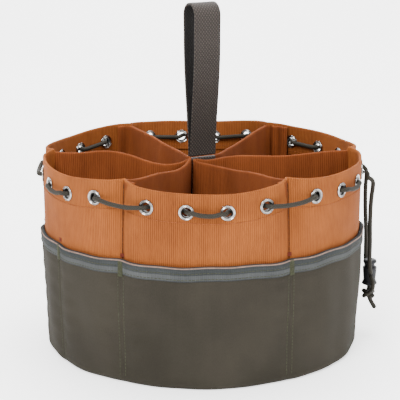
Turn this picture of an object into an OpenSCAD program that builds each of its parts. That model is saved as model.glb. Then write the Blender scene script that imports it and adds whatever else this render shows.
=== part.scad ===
// Drawstring bucket organizer: a round canvas tool bag with six compartments,
// eight outside pockets, a laced rim with a cord lock, and a webbing carrying loop.
// Millimetres, +Z up, origin at the middle of the underside.

/* [Body] */
// Height of the wall at the divider seams
wall_h = 172; // [140:1:220]
// Radius of the wall's outer face midway between two seams
lobe_r = 142; // [118:1:172]
// How far each seam lies inside that radius
seam_dip = 4; // [3:0.5:8]
// Thickness of the wall canvas
wall_t = 1.6; // [1.2:0.1:2.2]
// Dip of the rim midway between seams, sector by sector
rim_sag = [4, 4, 4, 4, 7, 3]; // [1:0.5:10]

/* [Rim facing] */
// Height of the strip that lines the rim
facing_h = 34; // [30:1:45]
// Thickness of that strip
facing_t = 1; // [0.8:0.1:1.4]

/* [Base] */
// Thickness of the outer base panel
base_t = 1.6; // [1.2:0.1:2.4]
// Thickness of the stiffening board
board_t = 2; // [1.5:0.5:4]
// Thickness of the lining over the board
lining_t = 1; // [0.8:0.1:1.6]

/* [Dividers] */
// Thickness of a divider
divider_t = 1.6; // [1.2:0.1:2.2]
// Drop of a divider's top below the rim at the wall
divider_drop = 3; // [2:0.5:6]
// Drop of a divider's top below the rim at the middle of the bag
centre_drop = 9; // [7:0.5:16]
// Sag of a divider's top edge between the two
divider_sag = 3; // [0:0.5:6]

/* [Pockets] */
// Height of the pocket panels
pocket_h = 106; // [80:1:120]
// Thickness of the pocket canvas
pocket_t = 1.4; // [1:0.1:2]
// Gap between a pocket and the wall at the pocket's seams
pocket_gap = 1.2; // [1.1:0.1:1.6]
// How far the mouth of a pocket stands open beyond that gap
pocket_bulge = 6.5; // [6:0.5:12]
// Share of the opening that is left at the pocket's foot
pocket_foot = 0.15; // [0.1:0.05:0.4]
// Height of the binding tape on the pocket edge
binding_h = 11.5; // [8:0.5:16]
// Thickness of the binding tape
binding_t = 0.8; // [0.6:0.1:0.9]

/* [Grommets] */
// Radius of an eyelet's bore
bore_r = 4.1; // [3:0.1:4.5]
// Radius of an eyelet's flange
flange_r = 6.2; // [5.8:0.1:8]
// Wall of an eyelet's barrel
barrel_t = 0.4; // [0.3:0.1:0.6]
// Thickness of the washer behind an eyelet
washer_t = 0.8; // [0.6:0.1:1.2]
// Distance of a grommet's centre below the rim
grommet_drop = 14.5; // [12:0.5:20]
// Distance between grommets along a sector's arc
grommet_pitch = 33; // [28:0.5:36]

/* [Drawstring] */
// Diameter of the cord
cord_d = 3.8; // [3:0.1:4]

/* [Handle] */
// Width of the webbing
strap_w = 25.4; // [20:0.2:38]
// Thickness of the webbing
strap_t = 1.5; // [1.2:0.1:2]
// Height of the loop above its fold line
loop_h = 134.5; // [110:0.5:180]
// Widest distance between the middles of the loop's two legs
loop_gap = 22; // [18:0.5:30]
// Turn of the webbing about the bag's axis
strap_turn = 26; // [20:1:32]
// Length of webbing sewn in between the dividers
anchor_h = 70; // [40:1:90]

/* [Cord lock] */
// Outer radius of the lock's barrel
lock_r = 6.2; // [5.8:0.1:7.5]
// Travel of the plunger
lock_travel = 3.2; // [2.5:0.1:3.6]
// Height of the barrel's underside above the floor
lock_z = 45.7; // [42:0.1:46]
// Distance of the lock's axis outside the seam
lock_out = 13.5; // [12.5:0.5:16]

/* [Hidden] */

$fn = 96;
canvas = [0.72, 0.42, 0.24];
olive = [0.34, 0.33, 0.27];
grey = [0.36, 0.40, 0.41];
steel = [0.80, 0.80, 0.80];
dark = [0.20, 0.19, 0.17];
black = [0.08, 0.08, 0.09];

sectors = 6;
half = 180 / sectors;           // half of a sector's angle about the bag's axis
fit = 0.1;                      // gap between two layers that are sewn together

// Each sector of the wall is one arc. Its centre lies arc_off from the bag's axis.
seam_r = lobe_r - seam_dip;
arc_off = (lobe_r^2 - seam_r^2) / (2 * (lobe_r - seam_r * cos(half)));
arc_r = lobe_r - arc_off;
arc_in = arc_r - wall_t;                    // inner face of the wall
facing_r = arc_in - fit;                    // outer face of the rim facing
facing_in = facing_r - facing_t;            // inner face of the rim facing
mid_r = (arc_r + facing_in) / 2;            // middle of the cloth that a grommet grips
grip = arc_r - facing_in;                   // thickness of that cloth
layer = fit / 3 + pow(flange_r, 2) / (2 * facing_in);  // gap under a flat ring on curved cloth
chord = seam_r * sin(half);                 // half of the sector's chord at the seams
floor_z = base_t + fit + board_t + fit + lining_t;
centre_z = wall_h - centre_drop;

// Distance from the bag's axis to where an arc of radius r crosses the seam plane
function seam_reach(r) = arc_off * cos(half) + sqrt(r^2 - (arc_off * sin(half))^2);
// Half angle, about the arc's centre, of an arc of radius r between its seam planes
function seam_psi(r) = asin(seam_reach(r) * sin(half) / r);
// Radius of the curve that cuts the rim of sector k, and the rim's height at y
function cut_r(k) = (chord^2 + rim_sag[k]^2) / (2 * rim_sag[k]);
function rim_z(k, y) = wall_h - rim_sag[k] + cut_r(k) - sqrt(cut_r(k)^2 - y^2);

// Grommets: four in each sector, numbered 0 to 3, placed on the sector's arc
function grommet_psi(i) = (i - 1.5) * grommet_pitch / arc_r * 180 / PI;
function grommet_z(k, i) = rim_z(k, arc_r * sin(grommet_psi(i))) - grommet_drop;

// A point s along the arc and n outwards from grommet i of sector k, in the bag's frame
function turned(p, a) = [p.x * cos(a) - p.y * sin(a), p.x * sin(a) + p.y * cos(a), p.z];
function sector_turn(k) = half + 2 * half * k;
function at_grommet(k, i, s, n, rise = 0) = let (psi = grommet_psi(i))
    turned([arc_off + (mid_r + n) * cos(psi) - s * sin(psi),
            (mid_r + n) * sin(psi) + s * cos(psi),
            grommet_z(k, i) + rise], sector_turn(k));

module sector(k) rotate([0, 0, sector_turn(k)]) children();

// A sector's share of the plan, half a sewn gap short of its two seam planes
module wedge(h) linear_extrude(h) translate([fit / 2 / sin(half), 0])
    polygon([[0, 0], 2 * lobe_r * [cos(half), -sin(half)], 2 * lobe_r * [cos(half), sin(half)]]);

module arc_cylinder(r, h) translate([arc_off, 0, 0]) cylinder(r = r, h = h, $fn = 180);

// Filled outline of the whole bag, one circle for each sector
module lobed(r, h) linear_extrude(h) for (k = [0 : sectors - 1])
    rotate(sector_turn(k)) translate([arc_off, 0]) circle(r = r, $fn = 180);

// A curved strip of one sector whose top edge follows the rim
module rim_strip(k, outer, inner, z) sector(k) difference() {
    intersection() {
        translate([0, 0, z]) wedge(wall_h + 5 - z);
        difference() {
            translate([0, 0, z]) arc_cylinder(outer, wall_h + 5 - z);
            translate([0, 0, z - 1]) arc_cylinder(inner, wall_h + 7 - z);
        }
    }
    translate([0, 0, wall_h - rim_sag[k] + cut_r(k)]) rotate([0, 90, 0])
        cylinder(r = cut_r(k), h = 2 * lobe_r, $fn = 180);
    for (i = [0 : 3]) grommet_place(k, i)
        translate([0, 0, -10]) cylinder(r = bore_r + barrel_t + layer, h = 20, $fn = 48);
}

// Puts a grommet, drawn along +Z from the middle of the cloth, at its place in a sector
module grommet_place(k, i) translate([arc_off, 0, grommet_z(k, i)])
    rotate([0, 0, grommet_psi(i)]) translate([mid_r, 0, 0]) rotate([0, 90, 0]) children();

module wall_panel(k) color(canvas) rim_strip(k, arc_r, arc_in, base_t + fit);

module rim_facing() color(canvas) for (k = [0 : sectors - 1])
    rim_strip(k, facing_r, facing_in, wall_h - facing_h);

module base_panel() color(olive) lobed(arc_r + pocket_gap + pocket_t, base_t);

module base_board() color(dark) translate([0, 0, base_t + fit])
    lobed(arc_in - layer, board_t);

module base_lining() color(canvas) translate([0, 0, base_t + board_t + 2 * fit])
    lobed(arc_in - layer, lining_t);

// A divider starts one sewn gap from the face of the webbing
module divider(k) {
    slant = 60 * k - strap_turn;             // angle between the divider and the webbing
    start = (strap_t + 1.5 * fit + divider_t / 2 * abs(cos(slant))) / abs(sin(slant));
    reach = seam_reach(facing_in) - 3 * fit;
    steps = 8;
    top = [for (j = [0 : steps]) let (u = j / steps)
        [start + (reach - start) * u,
         centre_z + (centre_drop - divider_drop) * u - divider_sag * 4 * u * (1 - u)]];
    color(canvas) rotate([0, 0, 60 * k]) translate([0, divider_t / 2, 0])
        rotate([90, 0, 0]) linear_extrude(divider_t)
        polygon(concat([[reach, floor_z + fit], [start, floor_z + fit]], top));
}

// One end of a skin: pairs the ring's first points with its last ones, flipped to face outwards
function cap(n, at, flip) = [for (j = [0 : n / 2 - 2]) let (p = at + j, q = at + n - 1 - j)
    each flip ? [[p, q, q - 1], [p, q - 1, p + 1]] : [[p, p + 1, q - 1], [p, q - 1, q]]];

// Joins a row of rings, each a closed list of an even number of points, into one closed skin
module skin(rings) {
    n = len(rings[0]);
    last = len(rings) - 1;
    polyhedron(
        points = [for (ring = rings) each ring],
        faces = concat(
            cap(n, 0, false),
            [for (i = [0 : last - 1]) for (j = [0 : n - 1]) let (q = (j + 1) % n)
                each [[i * n + j, (i + 1) * n + j, (i + 1) * n + q],
                      [i * n + j, (i + 1) * n + q, i * n + q]]],
            cap(n, last * n, true)),
        convexity = 10);
}

// Pockets: [sector, start, end] as shares of the sector's arc. Sectors 0 and 3 hold two.
pockets = [[0, -1, 0], [0, 0, 1], [1, -1, 1], [2, -1, 1], [3, -1, 0], [3, 0, 1], [4, -1, 1],
    [5, -1, 1]];

// How far a pocket stands off the wall at share u across it and height z
function stand_off(u, z) = pocket_gap + pocket_bulge * sin(180 * u)
    * (pocket_foot + (1 - pocket_foot) * sin(90 * min(1, z / pocket_h)));
// A point on pocket p, at share u across it, height z and depth d from its inner face
function pocket_point(p, u, z, d) = let (
    r = arc_r + stand_off(u, z) + d,
    trim = fit / arc_r * 180 / PI,
    edge = seam_psi(arc_r + pocket_gap + d),
    lo = p[1] * edge + trim,
    hi = p[2] * edge - trim,
    psi = lo + (hi - lo) * u)
    turned([arc_off + r * cos(psi), r * sin(psi), z], sector_turn(p[0]));

module pocket(i) {
    p = pockets[i];
    rows = 5;
    steps = p[2] - p[1] > 1 ? 24 : 14;
    foot = base_t + fit;
    color(olive) skin([for (m = [0 : rows]) let (z = foot + (pocket_h - foot) * m / rows) concat(
        [for (j = [0 : steps]) pocket_point(p, j / steps, z, pocket_t)],
        [for (j = [steps : -1 : 0]) pocket_point(p, j / steps, z, 0)])]);
}

// Binding tape folded over the top edge of each pocket
module pocket_binding() color(grey) for (p = pockets) {
    steps = p[2] - p[1] > 1 ? 24 : 14;
    gap = fit / 2;
    low = pocket_h - binding_h;
    high = pocket_h + gap;
    skin([for (j = [0 : steps]) let (u = j / steps) [
        pocket_point(p, u, low, pocket_t + gap + binding_t),
        pocket_point(p, u, high + binding_t, pocket_t + gap + binding_t),
        pocket_point(p, u, high + binding_t, -gap - binding_t),
        pocket_point(p, u, low, -gap - binding_t),
        pocket_point(p, u, low, -gap),
        pocket_point(p, u, high, -gap),
        pocket_point(p, u, high, pocket_t + gap),
        pocket_point(p, u, low, pocket_t + gap)]]);
}

// Rolled flange, barrel and turned-over inner edge of one eyelet, drawn along +Z
module eyelet() {
    roll = 0.6;
    tube_r = bore_r + barrel_t;
    out_z = grip / 2 + layer / 4;
    in_z = -grip / 2 - layer - washer_t - fit;
    rotate_extrude($fn = 48) {
        translate([tube_r, out_z]) square([flange_r - tube_r - roll, 2 * roll]);
        translate([flange_r - roll, out_z + roll]) circle(r = roll, $fn = 24);
        translate([bore_r + roll, out_z + roll]) circle(r = roll, $fn = 24);
        translate([bore_r, in_z - roll]) square([barrel_t, out_z + 2 * roll - in_z]);
        translate([bore_r + roll, in_z - roll]) circle(r = roll, $fn = 24);
    }
}

module grommet_eyelets() color(steel) for (k = [0 : sectors - 1]) sector(k)
    for (i = [0 : 3]) grommet_place(k, i) eyelet();

module grommet_washers() color(steel) for (k = [0 : sectors - 1]) sector(k)
    for (i = [0 : 3]) grommet_place(k, i)
        translate([0, 0, -grip / 2 - layer - washer_t]) difference() {
            cylinder(r = flange_r, h = washer_t, $fn = 48);
            translate([0, 0, -1])
                cylinder(r = bore_r + barrel_t + fit / 2, h = washer_t + 2, $fn = 48);
        }

// Round tube along a list of points, with sides corners to each ring
function unit(v) = v / norm(v);
function heading(path, i) = unit(path[min(i + 1, len(path) - 1)] - path[max(i - 1, 0)]);
module tube(path, d, sides = 8) skin([for (i = [0 : len(path) - 1]) let (
    ahead = heading(path, i),
    side = unit(cross(ahead, abs(ahead.z) > 0.8 ? [1, 0, 0] : [0, 0, 1])),
    up = cross(side, ahead))
    [for (a = [0 : 360 / sides : 359]) path[i] + d / 2 * (cos(a) * side + sin(a) * up)]]);

// The cord turns through a bore: s along the wall and n outwards, from the inside out
turn = [[-5.8, -5.5], [-2.9, -5.1], [-0.9, -1.9], [0.9, 1.9], [2.9, 4.8], [5.8, 5.1]];
stub = 4.2;                                  // how far the cord's laced part stands out at its exits

// From the exit at the seam behind sector 0 round to the exit at the front of sector 5.
// Between grommets 0 and 1, and 2 and 3, the cord lies inside the wall.
laced = [for (k = [0 : sectors - 1]) each [
    for (i = [0 : 3]) each (k == 0 && i == 0) ? [at_grommet(k, i, 0, stub),
            each [for (j = [3 : -1 : 0]) at_grommet(k, i, j == 3 ? 0.4 : j == 2 ? 0.6 : -turn[j].x, turn[j].y)]]
        : (k == sectors - 1 && i == 3) ? [
            each [for (j = [0 : 3]) at_grommet(k, i, j == 3 ? -0.4 : j == 2 ? -0.6 : turn[j].x, turn[j].y)],
            at_grommet(k, i, 0, stub)]
        : i % 2 == 0 ? [for (j = [5 : -1 : 0]) at_grommet(k, i, -turn[j].x, turn[j].y)]
        : [for (t = turn) at_grommet(k, i, t.x, t.y)]]];

module drawstring() color(dark) tube(laced, cord_d);

// Free ends of the cord, from their exits down through the lock and the knot to their tips.
// x counts from the lock's axis and z from the lock's underside.
lock_x = seam_r + lock_out;
front_route = [[-2.6, -21.5, 100], [-3.2, -19, 86], [-3.4, -16.5, 72], [-3, -14.4, 58], [-2.4, -13.2, 44],
    [-2.3, -12.6, 32], [-2.2, -12.2, 24], [-1.4, -11.2, 17.6], [0, -7.4, 13.1], [0, 0, 13.1],
    [0, 7.4, 13.1], [1.2, 11.2, 9.2], [1.8, 11.4, 4], [1.4, 8.8, -1], [0.4, 5, -4.6], [0, 2.6, -8],
    [0.6, 2.2, -13], [3.4, 2.4, -19], [6.6, 2.8, -24]];
back_route = [[-2.6, 21.5, 100], [-3.2, 19, 86], [-3.4, 16.5, 72], [-3, 14.4, 58], [-2.4, 13.2, 44],
    [-2.3, 12.6, 30], [-2.2, 12.2, 20], [-1.4, 11.2, 13.7], [0, 7.4, 9.2], [0, 0, 9.2],
    [0, -7.4, 9.2], [1.2, -11.2, 5.3], [1.8, -11.2, 1], [1.4, -8.6, -2.6], [0.4, -4.8, -5.2],
    [0, -2.6, -8], [0.6, -2.2, -13], [3, -2.4, -18], [5.6, -2.8, -22.4]];
// The cord leaves its exit level and bends down over the first few millimetres.
exit_out = [stub + 7 * fit, stub + 1.6, 7, 7.6];
exit_fall = [0, 0, -1.2, -4.6];
function tail(k, i, route) = concat(
    [for (j = [0 : 3]) at_grommet(k, i, 0, exit_out[j], exit_fall[j])],
    [for (p = route) [lock_x + p.x, p.y, lock_z + p.z]]);

module tail_front() color(dark) tube(tail(sectors - 1, 3, front_route), cord_d);
module tail_back() color(dark) tube(tail(0, 0, back_route), cord_d);

// Stopper knot that ties the two ends together under the lock
knot_r = 5.2;
knot_z = lock_z - 8.6;
module tail_knot() color(dark) translate([lock_x - 0.8, 0, knot_z]) {
    rotate_extrude($fn = 48) {
        translate([0, -1.7]) square([knot_r - 2, 3.4]);
        for (z = [-1.7, 1.7]) translate([knot_r - 2, z]) intersection() {
            circle(r = 2, $fn = 24);
            translate([-knot_r + 2, -2]) square([knot_r, 4]);
        }
    }
}

// Cord lock: a barrel with a cross slot, a sprung plunger with a longer slot, and its spring
lock_wall = 1.2;
lock_bore = lock_r - 1.5;
stem_r = lock_bore - 0.2;
slot_gap = 0.3;                              // clearance round the two cords in the lock
slot_w = cord_d + 2 * slot_gap;
slot_z = back_route[9].z - cord_d / 2 - slot_gap;
slot_h = front_route[9].z + cord_d / 2 + slot_gap - slot_z;
barrel_h = slot_z + slot_h + 1.4;
stem_z = slot_z - 1.2;                       // underside of the plunger's stem at rest
head_h = 3.6;
head_z = barrel_h + lock_travel + fit;      // underside of the plunger's head at rest

module rounded_disc(r, h, edge) rotate_extrude($fn = 64) {
    square([r - edge, h]);
    translate([0, edge]) square([r, h - 2 * edge]);
    for (z = [edge, h - edge]) translate([r - edge, z]) intersection() {
        circle(r = edge, $fn = 24);
        translate([-edge, -edge]) square(2 * edge);
    }
}

module cross_slot(z, h) translate([-slot_w / 2, -2 * lock_r, z]) cube([slot_w, 4 * lock_r, h]);

module at_lock() translate([lock_x, 0, lock_z]) children();

module lock_barrel() color(black) at_lock() difference() {
    union() {
        rounded_disc(lock_r + 0.6, 3, 1);
        cylinder(r = lock_r - 0.2, h = barrel_h, $fn = 64);
        translate([0, 0, barrel_h - 2.4]) rounded_disc(lock_r, 2.4, 0.6);
    }
    translate([0, 0, lock_wall]) cylinder(r = lock_bore, h = barrel_h, $fn = 64);
    cross_slot(slot_z, slot_h);
}

module lock_plunger() color(black) at_lock() difference() {
    union() {
        translate([0, 0, stem_z])
            cylinder(r = stem_r, h = head_z - stem_z + 0.5, $fn = 64);
        translate([0, 0, head_z]) rounded_disc(lock_r - 0.2, head_h, 1.2);
    }
    cross_slot(slot_z - fit / 2, slot_h + lock_travel + fit);
}

spring_r = 2.8;
spring_wire = 0.45;
module lock_spring() {
    turns = 2.5;
    steps = 40;
    low = lock_wall + spring_wire / 2 + fit;
    high = stem_z - spring_wire / 2 - fit;
    color(steel) at_lock() tube([for (j = [0 : steps]) let (u = j / steps, a = 360 * turns * u)
        [spring_r * cos(a), spring_r * sin(a), low + (high - low) * u]], spring_wire, 6);
}

// Webbing loop: each leg spreads from the fold line to the loop's full gap
fold_z = centre_z + 3;
fold_r = strap_t + fit / 2;                  // radius of the rounded fold at the loop's foot
loop_r = loop_gap / 2;
spread_h = 100;                              // height over which the legs spread
bend_z = loop_h - loop_r - strap_t / 2;      // height where the round top begins

function ease(u) = u * u * (3 - 2 * u);
function leg_x(z) = fold_r / 2 + (loop_r - fold_r / 2) * ease(min(1, z / spread_h));
function leg_line(d) = concat(
    [for (j = [0 : 20]) let (z = bend_z * j / 20) [leg_x(z) + d, z]],
    [for (a = [6 : 6 : 174]) [(loop_r + d) * cos(a), bend_z + (loop_r + d) * sin(a)]],
    [for (j = [20 : -1 : 0]) let (z = bend_z * j / 20) [-leg_x(z) - d, z]]);

module on_strap() rotate([0, 0, strap_turn]) translate([-strap_w / 2, 0, fold_z])
    rotate([90, 0, 90]) children();

module handle_strap() color(dark) on_strap() linear_extrude(strap_w) {
    difference() {
        polygon(leg_line(strap_t / 2 - fit / 4));
        polygon([for (p = leg_line(-strap_t / 2 + fit / 4)) [p.x, p.y == 0 ? -1 : p.y]]);
    }
    circle(r = fold_r, $fn = 48);
}

module handle_anchor() color(dark) on_strap() for (side = [-1, 1])
    translate([side * (fit / 2 + strap_t / 2) - strap_t / 2, -fold_r - 3 * fit - anchor_h, 0])
        cube([strap_t, anchor_h, strap_w]);

wall_panel(0);  // wall_panel_1
wall_panel(1);  // wall_panel_2
wall_panel(2);  // wall_panel_3
wall_panel(3);  // wall_panel_4
wall_panel(4);  // wall_panel_5
wall_panel(5);  // wall_panel_6
rim_facing();
base_panel();
base_board();
base_lining();
divider(0);  // divider_1
divider(1);  // divider_2
divider(2);  // divider_3
divider(3);  // divider_4
divider(4);  // divider_5
divider(5);  // divider_6
pocket(0);  // pocket_1
pocket(1);  // pocket_2
pocket(2);  // pocket_3
pocket(3);  // pocket_4
pocket(4);  // pocket_5
pocket(5);  // pocket_6
pocket(6);  // pocket_7
pocket(7);  // pocket_8
pocket_binding();
grommet_eyelets();
grommet_washers();
drawstring();
handle_anchor();
handle_strap();
tail_front();
tail_back();
tail_knot();
lock_barrel();
lock_plunger();
lock_spring();
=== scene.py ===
import bpy
import numpy as np
from math import radians
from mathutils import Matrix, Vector


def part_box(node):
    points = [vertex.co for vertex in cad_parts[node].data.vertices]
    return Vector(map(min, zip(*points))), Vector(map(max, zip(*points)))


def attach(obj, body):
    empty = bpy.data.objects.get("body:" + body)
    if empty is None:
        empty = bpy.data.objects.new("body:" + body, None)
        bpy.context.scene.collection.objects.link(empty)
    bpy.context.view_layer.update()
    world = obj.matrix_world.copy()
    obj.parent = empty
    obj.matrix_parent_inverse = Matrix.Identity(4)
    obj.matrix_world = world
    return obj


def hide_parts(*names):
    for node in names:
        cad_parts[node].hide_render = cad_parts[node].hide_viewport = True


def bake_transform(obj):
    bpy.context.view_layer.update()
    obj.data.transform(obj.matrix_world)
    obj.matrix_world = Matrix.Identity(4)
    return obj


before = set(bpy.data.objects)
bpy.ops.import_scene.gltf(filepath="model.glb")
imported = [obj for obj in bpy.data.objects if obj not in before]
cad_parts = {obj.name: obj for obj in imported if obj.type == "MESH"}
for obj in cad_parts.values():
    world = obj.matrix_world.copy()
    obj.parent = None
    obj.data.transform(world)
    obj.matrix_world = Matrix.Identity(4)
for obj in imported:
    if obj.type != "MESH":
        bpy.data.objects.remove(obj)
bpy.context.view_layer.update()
scene = bpy.context.scene
tau = 2 * np.pi

# sizes taken from the frame
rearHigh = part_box("wall_panel_2")[1]
lobeR = rearHigh.y                                  # outer face of the wall between two seams
seamR = rearHigh.x / np.sin(radians(30))            # outer face of the wall at a seam
wallHeight = rearHigh.z
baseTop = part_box("base_lining")[1].z
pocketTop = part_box("pocket_3")[1].z

sector = radians(60)
arcShift = (lobeR**2 - seamR**2) / (2 * (lobeR - seamR * np.cos(sector / 2)))
arcR = lobeR - arcShift

# rim dips are how far the rim hangs between its seams, one for each sector from +X round
bag = dict(rimDips=[.004, .004, .004, .004, .007, .003], cloth=.0012, facingDrop=.027,
           taper=.0040, foldR=.00068, ripple=.0005, crease=.0048, creaseWidth=.0085)


# radius of the wall's outer face in direction theta: each sector is an arc about a point arcShift from the axis
def lobeRadius(theta):
    t = np.mod(theta, sector) - sector / 2
    return arcShift * np.cos(t) + np.sqrt(arcR**2 - (arcShift * np.sin(t))**2)


# rim height: full height at the seams, less a parabola's dip between them
def rimHeight(theta):
    k = np.floor(np.mod(theta, tau) / sector).astype(int) % 6
    t = (np.mod(theta, sector) - sector / 2) / (sector / 2)
    dips = np.array(bag["rimDips"])[k]
    return wallHeight - dips * (1 - t**2) + .0004 * np.sin(11 * theta + 1)


# the wall's outer face is lobed at its rim and nearly round at its foot, going from one to the other with the
# cube of its height; it leans in towards the floor, a crease draws each seam in, and three waves buckle it
def wallRadius(theta, z):
    down = np.clip(1 - z / wallHeight, 0, 1)
    lobed = .15 + .85 * (1 - down)**3
    roundR = (2 * lobeR + seamR) / 3
    fromSeam = (sector / 2 - np.abs(np.mod(theta, sector) - sector / 2)) * seamR
    crease = bag["crease"] * np.exp(-(fromSeam / bag["creaseWidth"])**2) * (1 - down)**2
    wave = (np.sin(7 * theta + 30 * z) + .7 * np.sin(13 * theta - 55 * z + 2)
            + .5 * np.sin(23 * theta + 90 * z))
    return (roundR + lobed * (lobeRadius(theta) - roundR) - bag["taper"] * down**1.2
            - crease + bag["ripple"] * wave * (.35 + .65 * down))


# points from direction, radius and height
def polar(theta, r, z):
    return np.stack([r * np.cos(theta), r * np.sin(theta), z + 0 * theta], -1)


# a mesh becomes a smooth-shaded piece with its material
def finish(mesh, name, material):
    mesh.polygons.foreach_set("use_smooth", np.full(len(mesh.polygons), True))
    mesh.materials.append(material)
    mesh.validate()
    mesh.update()
    piece = bpy.data.objects.new(name, mesh)
    scene.collection.objects.link(piece)
    return piece


# a grid of points becomes quads: neighbours along both directions, wrapped where a direction closes
def gridFaces(nu, nv, closeU=False, closeV=False):
    i = np.arange(nu if closeU else nu - 1)
    j = np.arange(nv if closeV else nv - 1)
    a, b = np.meshgrid(i, j, indexing="ij")
    c, d = (a + 1) % nu, (b + 1) % nv
    return np.stack([a * nv + b, c * nv + b, c * nv + d, a * nv + d], -1).reshape(-1, 4)


# a mesh from whole arrays, all of whose faces have the same number of corners
def fillMesh(name, points, faces, uv=None):
    mesh = bpy.data.meshes.new(name)
    sides = faces.shape[1]
    mesh.vertices.add(len(points))
    mesh.vertices.foreach_set("co", points.astype(np.float32).ravel())
    mesh.loops.add(faces.size)
    mesh.loops.foreach_set("vertex_index", faces.astype(np.int32).ravel())
    mesh.polygons.add(len(faces))
    mesh.polygons.foreach_set("loop_start", np.arange(0, faces.size, sides, dtype=np.int32))
    if uv is not None:
        layer = mesh.uv_layers.new(name="cloth")
        layer.data.foreach_set("uv", uv[faces.ravel()].astype(np.float32).ravel())
    mesh.update(calc_edges=True)
    return mesh


# a mesh with faces of different sizes, and a cloth coordinate for each vertex
def mixedMesh(name, points, faces, uv):
    mesh = bpy.data.meshes.new(name)
    mesh.from_pydata(points.tolist(), [], faces)
    layer = mesh.uv_layers.new(name="cloth")
    loops = np.zeros(len(mesh.loops), np.int32)
    mesh.loops.foreach_get("vertex_index", loops)
    layer.data.foreach_set("uv", uv[loops].astype(np.float32).ravel())
    return mesh


# the running lengths of a grid along its rows and its columns, in metres, as a cloth's own coordinates
def clothCoords(grid):
    alongU = np.zeros(grid.shape[:2])
    alongV = np.zeros(grid.shape[:2])
    alongU[1:] = np.cumsum(np.linalg.norm(np.diff(grid, axis=0), axis=-1), 0)
    alongV[:, 1:] = np.cumsum(np.linalg.norm(np.diff(grid, axis=1), axis=-1), 1)
    alongU = np.broadcast_to(alongU[:, grid.shape[1] // 2][:, None], alongU.shape)
    return np.stack([alongU, alongV], -1).reshape(-1, 2)


# one sheet of cloth: a grid of its middle surface, thickened evenly both ways
def clothSheet(name, grid, thickness, material, keep=None):
    faces = gridFaces(*grid.shape[:2])
    if keep is not None:
        faces = faces[keep.ravel()]
    piece = finish(fillMesh(name, grid.reshape(-1, 3), faces, clothCoords(grid)), name, material)
    thick = piece.modifiers.new("thickness", "SOLIDIFY")
    thick.thickness = thickness
    thick.offset = 0
    thick.use_even_offset = True
    return piece


# vectors cut or stretched to length one
def unit(v):
    return v / np.maximum(np.linalg.norm(v, axis=-1, keepdims=True), 1e-12)


# how far along a line each of its points is
def runLengths(points):
    return np.concatenate([[0], np.cumsum(np.linalg.norm(np.diff(points, axis=0), axis=1))])


# the smooth cubic from b to c that also heeds the points before and after them; t runs from 0 to 1
def catmullRom(a, b, c, d, t):
    return .5 * (2 * b + (c - a) * t + (2 * a - 5 * b + 4 * c - d) * t**2 + (3 * b - a - 3 * c + d) * t**3)


# smooth line through chosen points: a Catmull-Rom curve, then points at even steps along it
def smoothLine(points, step):
    p = np.array(points, float)
    p = np.vstack([2 * p[0] - p[1], p, 2 * p[-1] - p[-2]])
    t = np.linspace(0, 1, 12, endpoint=False)[:, None]
    a, b, c, d = (p[i:len(p) - 3 + i][:, None] for i in range(4))
    curve = catmullRom(a, b, c, d, t)
    curve = np.vstack([curve.reshape(-1, 3), p[-2]])
    run = runLengths(curve)
    even = np.linspace(0, run[-1], max(4, int(run[-1] / step)))
    return np.stack([np.interp(even, run, curve[:, k]) for k in range(3)], -1), run[-1]


# frames along a line: the side vector is carried from point to point with its twist taken out
def carriedFrames(path):
    ahead = unit(np.gradient(path, axis=0))
    side = np.zeros_like(path)
    start = np.array([0, 0, 1.]) if abs(ahead[0][2]) < .8 else np.array([1., 0, 0])
    side[0] = unit(np.cross(ahead[0], start))
    for i in range(1, len(path)):
        s = side[i - 1] - ahead[i] * np.dot(side[i - 1], ahead[i])
        side[i] = s / np.linalg.norm(s)
    return ahead, side, np.cross(ahead, side)


# round cord: a circle carried along the line, with a braid's small lumps, and rounded ends
def cordMesh(name, path, diameter, material, sides=20, braid=.00012):
    ahead, side, up = carriedFrames(path)
    run = runLengths(path)
    a = np.arange(sides) / sides * tau
    lump = braid * np.sin(4 * a[None] + run[:, None] * 1900) * np.sin(4 * a[None] - run[:, None] * 1900)
    nearEnd = np.minimum(run, run[-1] - run)
    cap = np.sqrt(np.clip(1 - (1 - np.clip(nearEnd / (diameter * .4), 0, 1))**2, .02, 1))
    r = (diameter / 2 + lump) * cap[:, None]
    spoke = np.cos(a)[None, :, None] * side[:, None] + np.sin(a)[None, :, None] * up[:, None]
    ring = path[:, None] + r[..., None] * spoke
    uv = np.stack(np.broadcast_arrays(run[:, None], a[None] * diameter / 2), -1).reshape(-1, 2)
    points = np.vstack([ring.reshape(-1, 3), path[:1], path[-1:]])
    faces = gridFaces(len(path), sides, closeV=True)
    k = np.arange(sides)
    first, last = len(points) - 2, len(points) - 1
    tail = (len(path) - 1) * sides
    ends = np.vstack([np.stack([np.full(sides, first), (k + 1) % sides, k], -1),
                      np.stack([np.full(sides, last), tail + k, tail + (k + 1) % sides], -1)])
    uv = np.vstack([uv, uv[:1], uv[-1:]])
    return finish(mixedMesh(name, points, faces[:, ::-1].tolist() + ends.tolist(), uv), name, material)


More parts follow.
